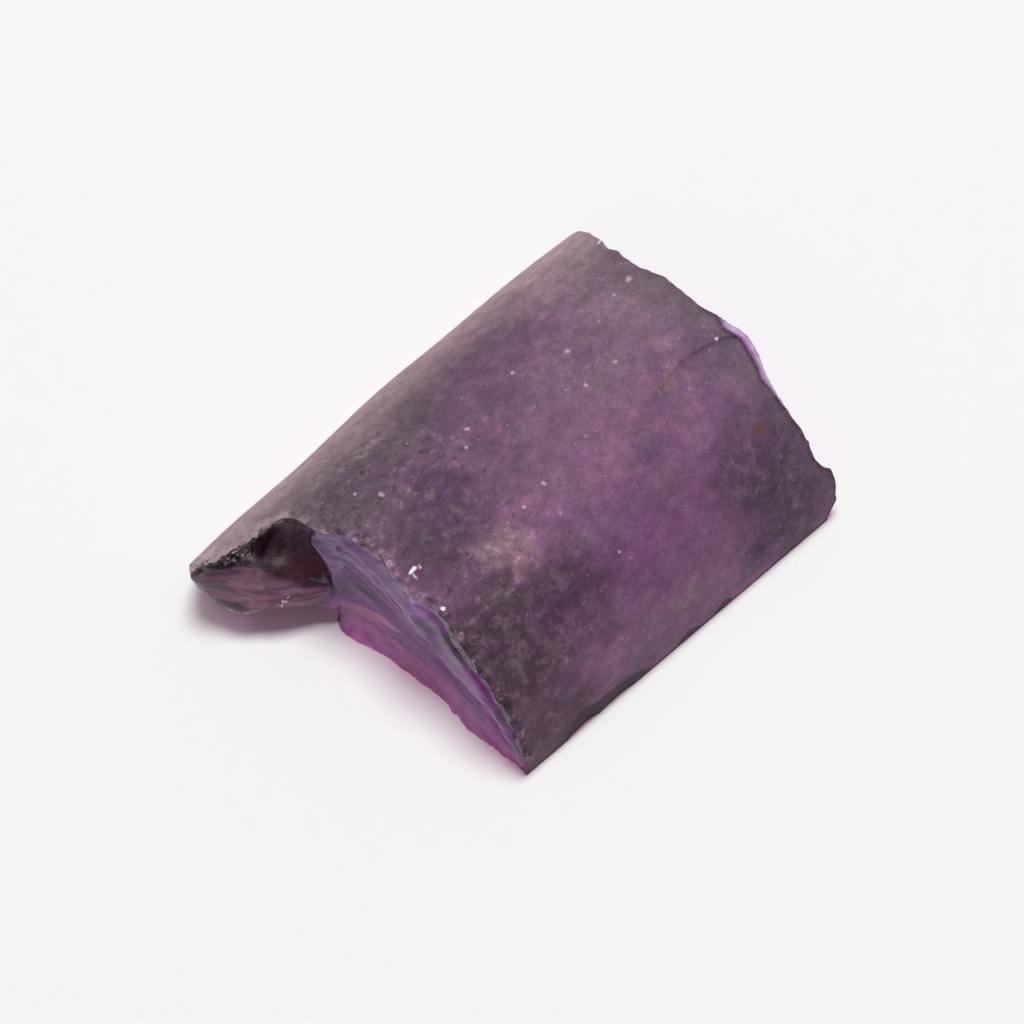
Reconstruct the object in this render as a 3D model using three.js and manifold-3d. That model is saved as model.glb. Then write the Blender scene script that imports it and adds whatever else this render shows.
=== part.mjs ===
// Rough alexandrite: one length of a half boule, lying on its split face.
//
// The boule grew along X, so its frosted skin is about half a cylinder, and the split that
// halved it left the flat base. Both ends are broken. The front break is square to the boule,
// with a foot that spreads along the base, but along the far edge it runs on into a spur that
// overhangs. Units are millimetres and +Z is up. The shape
// is built about the boule's axis, then moved so that the origin is the middle of the base's
// bounding rectangle, on the plane that the stone rests on.

import * as THREE from "three";
import { mergeVertices } from "three/addons/utils/BufferGeometryUtils.js";
import Module from "manifold-3d";

// Driving dimensions
const bouleRadius = 10; // the near edge of the split face, halfway along
const nearGrowth = 0.008; // gain in radius per millimetre of length on the near side
const farRadius = 10.1; // the widest radius on the far side
const farWidestAt = 6.75; // where along X the far side is widest
const farFallOff = 0.0018; // loss of radius on the far side, per square millimetre from there
const bouleReach = 17; // half the length of the boule before its ends break off
const farEdge = 12; // how far the breaking tools reach past the skin on each side
const scoopDepth = 1.15; // depth of the scoop struck out beside the spur
const footHeight = 0.95; // height over which the foot of the front face dies away
const undercut = 0.8; // how far the spur's underside falls back under its lip
const meshStep = 0.5; // size of a facet on the broken faces
const bevelWidth = 0.55; // depth of the glassy bevel along the top of the back break
const bevelProud = 0.4; // how far its outer edge stands out, for each millimetre of that depth
const bevelSlope = 1.2; // length cut from the skin per millimetre of that depth

// The front break runs along the cut, then out along the spur. Each station is the run, then
// x and y at the wall's waist, then x and y at the rim.
const frontStations = [
  [0, -7.2, -12, -7.52, -12], [3.5, -7.21, -8.5, -7.51, -8.5], [5.6, -7.23, -6.4, -7.66, -6.4],
  [8.4, -7.25, -3.6, -7.48, -3.6], [10.1, -7.38, -1.9, -7.92, -1.9],
  [12.2, -7.56, 0.2, -7.76, 0.2], [14, -7.86, 2, -7.98, 2], [14.9, -8.1, 2.85, -8.3, 2.9],
  [15.9, -8.5, 3.7, -8.86, 3.9], [17.2, -9.1, 4.35, -8.86, 5.2], [17.9, -9.6, 4.75, -9.1, 5.85],
  [18.6, -10.1, 5.17, -9.75, 6.15], [19.9, -10.95, 5.7, -11.05, 6.35],
  [20.7, -11.4, 5.92, -11.7, 6.75], [21.5, -11.82, 6.15, -12.45, 7.05],
  [22.3, -12.2, 6.6, -13.15, 7.4], [23.1, -12.48, 7.25, -13.8, 7.8],
  [23.9, -12.56, 8, -13.32, 8.3], [24.6, -12.58, 8.7, -12.95, 8.8],
  [25.3, -12.6, 9.4, -12.72, 9.4], [27.4, -12.6, 11.5, -12.6, 11.6], [29.9, -12.6, 14, -12.6, 14.1],
];
const frontRuns = [1.2, 27]; // the part of it that is cut
const frontColumns = 62;
const frontRows = [2, 4, 6, 14]; // rows below the base, up to the lip, to the ledge and to the top

// How far the foot of the front face spreads, as [run, spread]
const footSpread = [
  [1.5, 0.1], [2.3, 0.28], [3, 0.35], [3.9, 0.45], [4.8, 0.62], [5.75, 0.75], [6.95, 0.67],
  [8.1, 0.58], [9.2, 0.68], [10.2, 0.72], [11.1, 0.77], [12, 0.87], [13.1, 1.05], [13.9, 1.15],
  [14.4, 1.05], [14.9, 0.85], [15.4, 0.5], [15.9, 0],
];

// The lip under the spur and the ledge over it, as [run, height, how far it stands out]
const spurLip = [
  [13.8, 0.75, 0], [14.6, 0.8, 0.1], [15.15, 1.3, 0.54], [15.45, 1.7, 0.78], [15.8, 2.1, 1],
  [16.75, 2.4, 1.41], [18.4, 2.5, 1.7], [19.6, 2.6, 1.55], [20.1, 2.5, 1.4], [21.25, 2.16, 1.23],
  [22.05, 2.2, 0.88], [22.6, 2.3, 0.61], [22.95, 2.5, 0.2], [23.4, 2.9, 0.05], [23.9, 3.2, 0.2],
  [24.6, 3.3, 0.1], [26, 3.3, 0],
];
const spurLedge = [
  [13.8, 3, 0], [15.2, 3.1, 0.1], [16, 3.3, 0.35], [17, 3.6, 0.5], [18, 3.8, 0.5], [19.1, 4.1, 0.4],
  [19.8, 4.3, 0.25], [20.9, 4.6, 0.1], [22.2, 4.75, 0], [23.2, 4.5, 0], [24.2, 4.3, 0],
];

// Curved feathers on the front face: [run, height] along each, rise, width above and below
const feathers = [
  {
    path: [[1.8, 0.9], [3.4, 3], [4.8, 4.6], [6.2, 4.5], [7.4, 4.1], [8.5, 4.4], [9.3, 6],
      [10.1, 7.4], [12, 7.5], [14.6, 8.3]],
    rise: 0.26, above: 1.1, below: 0.6,
  },
  {
    path: [[2.4, 2.2], [3.6, 4.4], [5, 5.8], [6.1, 6.3], [7.2, 6.5], [7.9, 7], [8.6, 8], [9.4, 9],
      [10.4, 9.6]],
    rise: -0.3, above: 0.55, below: 0.5,
  },
  {
    path: [[1.6, 1], [5, 1.8], [8.5, 2], [11.4, 1.6], [13, 1.9], [15.6, 1.9]],
    rise: 0.22, above: 0.6, below: 0.7,
  },
  { path: [[2.5, 1.6], [6, 2.9], [9, 3], [12, 3.3], [14.8, 4.6]], rise: -0.16, above: 0.7, below: 0.5 },
];
const scoopEdge = [
  [0, 14.7], [2.2, 15], [3.5, 15.3], [5.1, 15.5], [6.6, 15.7], [7.6, 16.1], [8.9, 16.5],
]; // run of the scoop's sharp near side, by height

// Plan outline of the back break at the rim, as [y, x] from the near edge to the far edge
const backAtRim = [
  [-10.2, 13.75], [-9.45, 13.92], [-8.8, 13.56], [-7.7, 13.26], [-6.2, 13.2], [-5, 13.3],
  [-3.8, 13.68], [-2.9, 13.82], [-1.7, 13.52], [-0.2, 13.05], [1.8, 12.96], [3.8, 12.54],
  [6.5, 12.84], [9.2, 13.4], [10.4, 13.2],
];

// Small scoops struck off the edges: centre, radii and turn about Z in degrees
const edgeChips = [
  { at: [-3.6, -10.95, -0.1], size: [2.4, 1.1, 3.2], turn: 0 },
  { at: [-1.8, -10.95, -0.1], size: [3.6, 1.05, 2.2], turn: 1 },
  { at: [14.1, -8.9, 5.2], size: [0.8, 1.3, 1.6], turn: 20 },
  { at: [13.15, 5.9, 9.0], size: [0.75, 1.4, 1.3], turn: 12 },
];

const { abs, atan2, exp, hypot, max, min, PI, sin, sqrt } = Math;
const degrees = 180 / PI;

const mix = (a, b, share) => a + (b - a) * share;

function smooth(from, to, value) {
  const share = min(1, max(0, (value - from) / (to - from)));
  return share * share * (3 - 2 * share);
}

function hump(u, v, atU, atV, wideU, wideV) {
  return exp(-(((u - atU) / wideU) ** 2) - ((v - atV) / wideV) ** 2);
}

// The value of a smooth curve through rising [key, value] points
function along(points, key) {
  const last = points.length - 1;
  if (key <= points[0][0]) return points[0][1];
  if (key >= points[last][0]) return points[last][1];
  const i = points.findIndex((point) => point[0] > key) - 1;
  const rise = (a, b) => (points[b][1] - points[a][1]) / (points[b][0] - points[a][0]);
  const slope = (k) => {
    if (k === 0 || k === last) return 0;
    const before = rise(k - 1, k);
    const after = rise(k, k + 1);
    return before * after <= 0 ? 0 : (2 * before * after) / (before + after);
  };
  const span = points[i + 1][0] - points[i][0];
  const t = (key - points[i][0]) / span;
  const a = points[i][1];
  const b = points[i + 1][1];
  return (
    a * (1 + 2 * t) * (1 - t) ** 2 +
    b * t * t * (3 - 2 * t) +
    slope(i) * span * t * (1 - t) ** 2 -
    slope(i + 1) * span * t * t * (1 - t)
  );
}

// Distance of the skin from the boule's axis. The angle runs from 0 at the near edge to 180.
function skinRadius(x, angle) {
  const near = bouleRadius + nearGrowth * (x - 1.75);
  const far = farRadius - farFallOff * (x - farWidestAt) ** 2;
  const waves = 0.05 * sin(0.62 * x + 0.05 * angle) + 0.04 * sin(0.09 * angle - 0.35 * x + 1);
  return mix(near, far, smooth(40, 140, angle)) + waves * smooth(4, 30, angle) - flake(x, angle);
}

// A shallow flake lifted off the skin beside the back break, with one sharp curved edge
function flake(x, angle) {
  const edgeAngle = 76.2 + 3 * sin((x - 7.6) * 0.58);
  const below = smooth(edgeAngle, edgeAngle - 1.4, angle) * smooth(edgeAngle - 26, edgeAngle, angle);
  return 0.14 * below * smooth(7.2, 10.5, x);
}

// How far a point on a break lies below the skin
function depthUnderSkin(y, z) {
  return max(0, bouleRadius - hypot(y, z));
}

// A column of a table at a run along the front break
const fromTable = (table, run, column) => along(table.map((row) => [row[0], row[column]]), run);

// The front break's plain sweep. share is 0 at the base and 1 at the rim.
function frontSweep(run, height) {
  const yRim = fromTable(frontStations, run, 4);
  const share = height / sqrt(max(9, 9.4 ** 2 - yRim * yRim));
  const lift = smooth(0, 0.95, share);
  const x = mix(fromTable(frontStations, run, 1), fromTable(frontStations, run, 3), lift);
  const y = mix(fromTable(frontStations, run, 2), yRim, lift);
  return { x, y, share };
}

// How far the front break stands out of that sweep
function frontRelief(run, height, share) {
  const onFace = smooth(16.2, 14.6, run);
  let out = 0;
  for (const { path, rise, above, below } of feathers) {
    const away = height - along(path, run);
    const first = path[0][0];
    const last = path[path.length - 1][0];
    const ends = smooth(first - 0.2, first + 1.6, run) * smooth(last + 0.8, last - 0.6, run);
    const shape = exp(-((away / (away > 0 ? above : below)) ** 2));
    out += rise * shape * ends * onFace * smooth(1, 0.95, share);
  }
  out += along(footSpread, run) * exp(-max(0, height) / footHeight);
  // the scoop beside the spur, sharp on its near side
  const edge = along(scoopEdge, height);
  const lip = fromTable(spurLip, run, 1);
  const lipOut = fromTable(spurLip, run, 2);
  const ledge = fromTable(spurLedge, run, 1);
  const ledgeOut = fromTable(spurLedge, run, 2);
  const inScoop =
    smooth(edge, edge + 1.1, run) * smooth(19.9, 18, run) * smooth(ledge - 0.1, ledge + 1.3, height);
  out -= scoopDepth * inScoop * smooth(1, 0.8, share);
  out += 0.22 * exp(-(((run - edge + 0.25) / 0.4) ** 2)) * smooth(1.5, 3.5, height) * smooth(1, 0.9, share);
  // a hollow along the spur, over a smooth swelling that ends in the lip, which overhangs
  out -= 0.28 * smooth(18.4, 19.4, run) * smooth(ledge, ledge + 0.5, height) * smooth(1, 0.86, share);
  if (height > ledge) return out + ledgeOut * smooth(ledge + 1.2, ledge, height);
  if (height > lip) {
    const down = (ledge - height) / (ledge - lip);
    return out + mix(ledgeOut, lipOut, sin((down * PI) / 2) ** 0.9);
  }
  const under = min(1, (lip - height) / lip) ** 0.55;
  return out + mix(lipOut, -undercut * smooth(14.8, 15.6, run), under);
}

// The back break: one shell-like fracture that starts at the rim on the far side
function backBreak(y, z) {
  const fromStart = hypot(y - 4.5, (z - 9.4) * 1.15);
  const bowl = -0.55 * smooth(0.5, 6, fromStart) * smooth(16, 7, fromStart);
  const ripples = 0.11 * sin(fromStart * 2.1 - 0.6) * smooth(1.5, 5, fromStart);
  const depth = depthUnderSkin(y, z);
  const relief = (bowl + ripples) * smooth(0, 1.6, depth);
  const width = bevelWidth * smooth(-1.3, -2, y) * min(1, max(0, (y + 7.6) / 4.6));
  const bevel = bevelProud * width - bevelSlope * max(0, width - depth);
  const onBevel = min(1, width / 0.1) * smooth(4.5, 2, depth);
  const corner = -0.65 * smooth(1.7, 0, z) * smooth(-8.4, -9.8, y);
  return along(backAtRim, y) + mix(relief, bevel, onBevel) + corner;
}

// The split face: flat where the stone rests, with a few shell-like dips
function baseSplit(x, y) {
  const dips =
    0.42 * hump(x, y, 8.4, 6.2, 3.6, 2.2) +
    0.36 * hump(x, y, 9.8, -5.4, 2.4, 3.2) +
    0.34 * hump(x, y, -8.9, 6.9, 2.2, 1.3) +
    0.3 * hump(x, y, -4.6, 1.2, 1.7, 3.4);
  return max(0, dips - 0.06);
}

const wasm = await Module();
wasm.setup();

function toSolid(geometry) {
  geometry.deleteAttribute("normal");
  geometry.deleteAttribute("uv");
  const merged = mergeVertices(geometry, 1e-4);
  return new wasm.Manifold(
    new wasm.Mesh({
      numProp: 3,
      vertProperties: merged.attributes.position.array,
      triVerts: new Uint32Array(merged.index.array),
    }),
  );
}

function toGeometry(solid) {
  const mesh = solid.getMesh();
  const corners = new Float32Array(mesh.numVert * 3);
  for (let i = 0; i < mesh.numVert; i++) {
    corners.set(mesh.vertProperties.subarray(i * mesh.numProp, i * mesh.numProp + 3), i * 3);
  }
  const geometry = new THREE.BufferGeometry();
  geometry.setAttribute("position", new THREE.BufferAttribute(corners, 3));
  geometry.setIndex(new THREE.BufferAttribute(mesh.triVerts, 1));
  geometry.computeVertexNormals();
  return geometry;
}

// Moves each vertex of a geometry to where the rule says
function reshape(geometry, rule) {
  const place = geometry.attributes.position;
  const point = new THREE.Vector3();
  for (let i = 0; i < place.count; i++) {
    point.fromBufferAttribute(place, i);
    rule(point);
    place.setXYZ(i, point.x, point.y, point.z);
  }
  return geometry;
}

// The whole boule, before it was split and broken
function makeBoule() {
  const around = 108;
  const lengths = 36;
  const tube = new THREE.CylinderGeometry(bouleRadius, bouleRadius, 2 * bouleReach, around, lengths);
  tube.rotateZ(-PI / 2);
  return reshape(tube, (point) => {
    const fromAxis = hypot(point.y, point.z);
    if (fromAxis < 0.001) return;
    const angle = abs(atan2(point.z, -point.y) * degrees);
    const scale = skinRadius(point.x, angle) / bouleRadius;
    point.y *= scale;
    point.z *= scale;
  });
}

// A block with one side shaped like the front break. Rows of facets follow the lip and the ledge.
function makeFrontBreaker() {
  const rows = frontRows.reduce((sum, count) => sum + count, 0);
  const block = new THREE.BoxGeometry(1, 1, 1, 1, frontColumns, rows);
  const heightOf = (row, run) => {
    const levels = [-0.9, 0, fromTable(spurLip, run, 1), fromTable(spurLedge, run, 1), 10.6];
    let left = row;
    for (let i = 0; i < frontRows.length; i++) {
      if (left <= frontRows[i]) return mix(levels[i], levels[i + 1], left / frontRows[i]);
      left -= frontRows[i];
    }
    return levels[frontRows.length];
  };
  return reshape(block, (point) => {
    const run = mix(frontRuns[0], frontRuns[1], point.y + 0.5);
    const height = heightOf(Math.round((point.z + 0.5) * rows), run);
    const here = frontSweep(run, height);
    const ahead = frontSweep(run + 0.3, height);
    const behind = frontSweep(run - 0.3, height);
    const length = hypot(ahead.x - behind.x, ahead.y - behind.y);
    const out = frontRelief(run, height, here.share) / length;
    const back = point.x < 0 ? 1 : 0;
    point.set(
      here.x - out * (ahead.y - behind.y) - 16 * back,
      here.y + out * (ahead.x - behind.x) - 5.6 * back,
      height,
    );
  });
}

// A block with one side shaped like the back break
function makeBackBreaker() {
  const wide = 2 * farEdge;
  const low = -1;
  const block = new THREE.BoxGeometry(
    1, wide, farEdge - low, 1, Math.round(wide / meshStep), Math.round((farEdge - low) / meshStep),
  );
  block.translate(0.5, 0, (farEdge + low) / 2);
  return reshape(block, (point) => {
    point.x = point.x < 0.5 ? backBreak(point.y, point.z) : 2 * bouleReach;
  });
}

// A slab whose top is shaped like the split face
function makeSplitter() {
  const long = 2 * bouleReach + 2;
  const slab = new THREE.BoxGeometry(long, 2 * farEdge, 1, 40, 28, 1);
  slab.translate(0, 0, -0.5);
  return reshape(slab, (point) => {
    point.z = point.z > -0.5 ? baseSplit(point.x, point.y) : -2 * bouleRadius;
  });
}

function makeChip({ at, size, turn }) {
  const ball = new THREE.SphereGeometry(1, 22, 14);
  ball.scale(...size);
  ball.rotateZ(turn / degrees);
  ball.translate(...at);
  return ball;
}

let stone = toSolid(makeBoule());
stone = stone.subtract(toSolid(makeSplitter()));
stone = stone.subtract(toSolid(makeFrontBreaker()));
stone = stone.subtract(toSolid(makeBackBreaker()));
for (const chip of edgeChips) stone = stone.subtract(toSolid(makeChip(chip)));

// The middle of the bounding rectangle goes to the origin
const stoneGeometry = toGeometry(stone);
stoneGeometry.computeBoundingBox();
const middle = stoneGeometry.boundingBox.getCenter(new THREE.Vector3());
stoneGeometry.translate(-middle.x, -middle.y, 0);

const stoneMesh = new THREE.Mesh(
  stoneGeometry,
  new THREE.MeshStandardMaterial({ color: 0x6e5569, roughness: 0.5, metalness: 0 }),
);
stoneMesh.name = "stone";

const group = new THREE.Group();
group.add(stoneMesh);
export default group;
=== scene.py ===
from math import atan2, cos, degrees, exp, hypot, pi, radians, sin, sqrt

import bmesh
import bpy
from mathutils import Matrix, Vector, noise
from mathutils.kdtree import KDTree


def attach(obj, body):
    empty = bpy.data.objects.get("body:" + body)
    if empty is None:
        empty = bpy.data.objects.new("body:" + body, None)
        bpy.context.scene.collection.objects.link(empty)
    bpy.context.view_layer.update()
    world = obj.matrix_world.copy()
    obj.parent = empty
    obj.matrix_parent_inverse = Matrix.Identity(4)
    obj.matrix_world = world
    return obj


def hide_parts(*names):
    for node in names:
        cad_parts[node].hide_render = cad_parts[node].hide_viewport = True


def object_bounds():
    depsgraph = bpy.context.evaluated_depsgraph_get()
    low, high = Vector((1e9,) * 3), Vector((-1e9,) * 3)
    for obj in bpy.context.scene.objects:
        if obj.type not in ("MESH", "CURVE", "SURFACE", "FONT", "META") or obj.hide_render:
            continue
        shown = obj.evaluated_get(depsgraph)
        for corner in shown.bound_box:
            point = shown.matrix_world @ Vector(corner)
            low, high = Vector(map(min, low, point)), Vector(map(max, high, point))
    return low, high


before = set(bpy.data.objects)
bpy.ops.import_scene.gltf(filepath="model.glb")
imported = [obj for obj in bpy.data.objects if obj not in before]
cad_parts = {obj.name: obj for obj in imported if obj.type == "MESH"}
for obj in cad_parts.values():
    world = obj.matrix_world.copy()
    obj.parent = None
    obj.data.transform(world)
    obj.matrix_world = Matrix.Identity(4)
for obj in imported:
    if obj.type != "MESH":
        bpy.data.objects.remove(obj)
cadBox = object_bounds()
mm = 0.001
print("frame loaded, stone is", [round((b - a) / mm, 2) for a, b in zip(*cadBox)], "mm")


# The stone is shaped in millimetres about the boule's axis, which runs along X at floor level,
# then brought to metres and to the frame's place.

def mix(a, b, share):
    return a + (b - a) * share


def smooth(start, end, value):
    share = min(1.0, max(0.0, (value - start) / (end - start)))
    return share * share * (3 - 2 * share)


def hump(value, centre, width):
    return exp(-(((value - centre) / width) ** 2))


def along(points, key):
    # a smooth curve through rising (key, value) points, which never overshoots them
    if key <= points[0][0]:
        return points[0][1]
    if key >= points[-1][0]:
        return points[-1][1]
    last = len(points) - 1
    i = next(k for k in range(last) if points[k + 1][0] > key)

    def rise(k):
        return (points[k + 1][1] - points[k][1]) / (points[k + 1][0] - points[k][0])

    def slope(k):
        if k == 0 or k == last:
            return 0.0
        before, after = rise(k - 1), rise(k)
        return 0.0 if before * after <= 0 else 2 * before * after / (before + after)

    span = points[i + 1][0] - points[i][0]
    t = (key - points[i][0]) / span
    low, high = points[i][1], points[i + 1][1]
    return (low * (1 + 2 * t) * (1 - t) ** 2 + high * t * t * (3 - 2 * t)
            + slope(i) * span * t * (1 - t) ** 2 - slope(i + 1) * span * t * t * (1 - t))


def deselectAll():
    for thing in bpy.context.selected_objects:
        thing.select_set(False)


def editAll(thing):
    deselectAll()
    thing.select_set(True)
    bpy.context.view_layer.objects.active = thing
    bpy.ops.object.mode_set(mode="EDIT")
    bpy.ops.mesh.select_all(action="SELECT")


def moveEach(thing, rule):
    for vertex in thing.data.vertices:
        vertex.co = rule(vertex.co)
    thing.data.update()


def markFaces(thing, value):
    # 1 on the boule's own skin and 0 on anything broken, kept through the cuts
    mark = thing.data.attributes.new("frostFace", "FLOAT", "FACE")
    mark.data.foreach_set("value", [value] * len(thing.data.polygons))


def thicken(tool, way):
    # makes a bent sheet into the closed solid that lies to one side of it
    editAll(tool)
    bpy.ops.mesh.extrude_region_move(TRANSFORM_OT_translate={"value": way})
    bpy.ops.mesh.select_all(action="SELECT")
    bpy.ops.mesh.normals_make_consistent(inside=False)
    bpy.ops.object.mode_set(mode="OBJECT")
    return tool


def cutAway(thing, tool):
    markFaces(tool, 0.0)
    deselectAll()
    thing.select_set(True)
    bpy.context.view_layer.objects.active = thing
    cut = thing.modifiers.new("cut", "BOOLEAN")
    cut.operation, cut.solver, cut.object = "DIFFERENCE", "MANIFOLD", tool
    bpy.ops.object.modifier_apply(modifier="cut")
    bpy.data.objects.remove(tool)


# The boule: a long frosted cylinder, before it was split and broken
boule = {
    "radius": 10.0,
    "nearGrowth": 0.008,  # gain in radius per millimetre of length on the near side
    "farRadius": 10.1,
    "farWidestAt": 6.75,
    "farFallOff": 0.0018,
    "reach": 16.0,  # half its length
    "around": 500,
    "lengths": (13, 18),  # cuts made in two rounds
    "waviness": (0.05, 0.04),  # heights of its long and short waves
    "flakeDepth": 0.14,
    "dimple": 0.012,  # depth of the skin's own unevenness
    "sawnAt": -0.7,  # height of the plain cut that the split face is then struck from
}


def flakeAt(x, angle):
    # a shallow flake beside the back break, with one sharp curved edge
    edge = along([(7.4, 75.8), (8.2, 76.6), (9.0, 77.6), (9.6, 78.7), (10.3, 79.0), (11.0, 78.9),
                  (11.9, 78.1), (12.8, 76.5), (13.5, 74.8)], x)
    below = smooth(edge, edge - 0.9, angle) * smooth(edge - 24, edge - 2, angle)
    return boule["flakeDepth"] * below * smooth(7.2, 9.4, x)


def skinRadius(x, angle):
    near = boule["radius"] + boule["nearGrowth"] * (x - 1.75)
    far = boule["farRadius"] - boule["farFallOff"] * (x - boule["farWidestAt"]) ** 2
    long, short = boule["waviness"]
    waves = long * sin(0.62 * x + 0.05 * angle) + short * sin(0.09 * angle - 0.35 * x + 1)
    return mix(near, far, smooth(40, 140, angle)) + waves * smooth(4, 30, angle) - flakeAt(x, angle)


def makeBoule():
    deselectAll()
    size = boule
    bpy.ops.mesh.primitive_cylinder_add(vertices=size["around"], radius=size["radius"],
                                        depth=2 * size["reach"], rotation=(0, pi / 2, 0))
    thing = bpy.context.object
    bpy.ops.object.transform_apply(location=True, rotation=True, scale=True)
    editAll(thing)
    bpy.ops.mesh.select_mode(type="EDGE")
    for cuts in size["lengths"]:
        mesh = bmesh.from_edit_mesh(thing.data)
        for edge in mesh.edges:
            ends = [end.co for end in edge.verts]
            edge.select_set(abs(ends[0].x - ends[1].x) > 0.5)  # the edges that run along the boule
        bmesh.update_edit_mesh(thing.data)
        bpy.ops.mesh.subdivide(number_cuts=cuts, quadcorner="STRAIGHT_CUT")
    bpy.ops.mesh.select_mode(type="FACE")
    bpy.ops.mesh.select_all(action="SELECT")
    bpy.ops.mesh.bisect(plane_co=(0, 0, size["sawnAt"]), plane_no=(0, 0, -1), use_fill=True, clear_outer=True)
    bpy.ops.object.mode_set(mode="OBJECT")

    def toSkin(point):
        fromAxis = hypot(point.y, point.z)
        if fromAxis < size["radius"] / 2:  # the middle of an end or of the sawn face
            return point
        angle = abs(degrees(atan2(point.z, -point.y)))
        grain = size["dimple"] * (noise.noise(point * 1.3) + 0.5 * noise.noise(point * 3.1))
        scale = (skinRadius(point.x, angle) + grain) / size["radius"]
        return Vector((point.x, point.y * scale, point.z * scale))

    moveEach(thing, toSkin)
    markFaces(thing, 1.0)
    return thing


stone = makeBoule()
stone.name = "crystal"
print("boule made,", len(stone.data.polygons), "faces")


# The split face under the stone: flat where it rests, with a few shell-like dips
splitFace = {
    "wide": 34.0, "deep": 24.0, "step": 0.3,
    "thickness": (0, 0, -3),
    "flatness": 0.06,  # a dip shows where it is deeper than this
    # centre x, y, half widths and depth of each dip
    "dips": [(8.4, 6.2, 3.6, 2.2, 0.42), (9.8, -5.4, 2.4, 3.2, 0.36),
             (-8.9, 6.9, 2.2, 1.3, 0.34), (-4.6, 1.2, 1.7, 3.4, 0.3)],
}


def makeSplitter():
    deselectAll()
    wide, deep, step = splitFace["wide"], splitFace["deep"], splitFace["step"]
    bpy.ops.mesh.primitive_grid_add(x_subdivisions=round(wide / step),
                                    y_subdivisions=round(deep / step), size=1)
    tool = bpy.context.object

    def toFace(point):
        x, y = point.x * wide, point.y * deep
        depth = sum(deepest * exp(-((x - atX) / halfX) ** 2 - ((y - atY) / halfY) ** 2)
                    for atX, atY, halfX, halfY, deepest in splitFace["dips"])
        return Vector((x, y, max(0.0, depth - splitFace["flatness"])))

    moveEach(tool, toFace)
    return thicken(tool, splitFace["thickness"])


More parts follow.
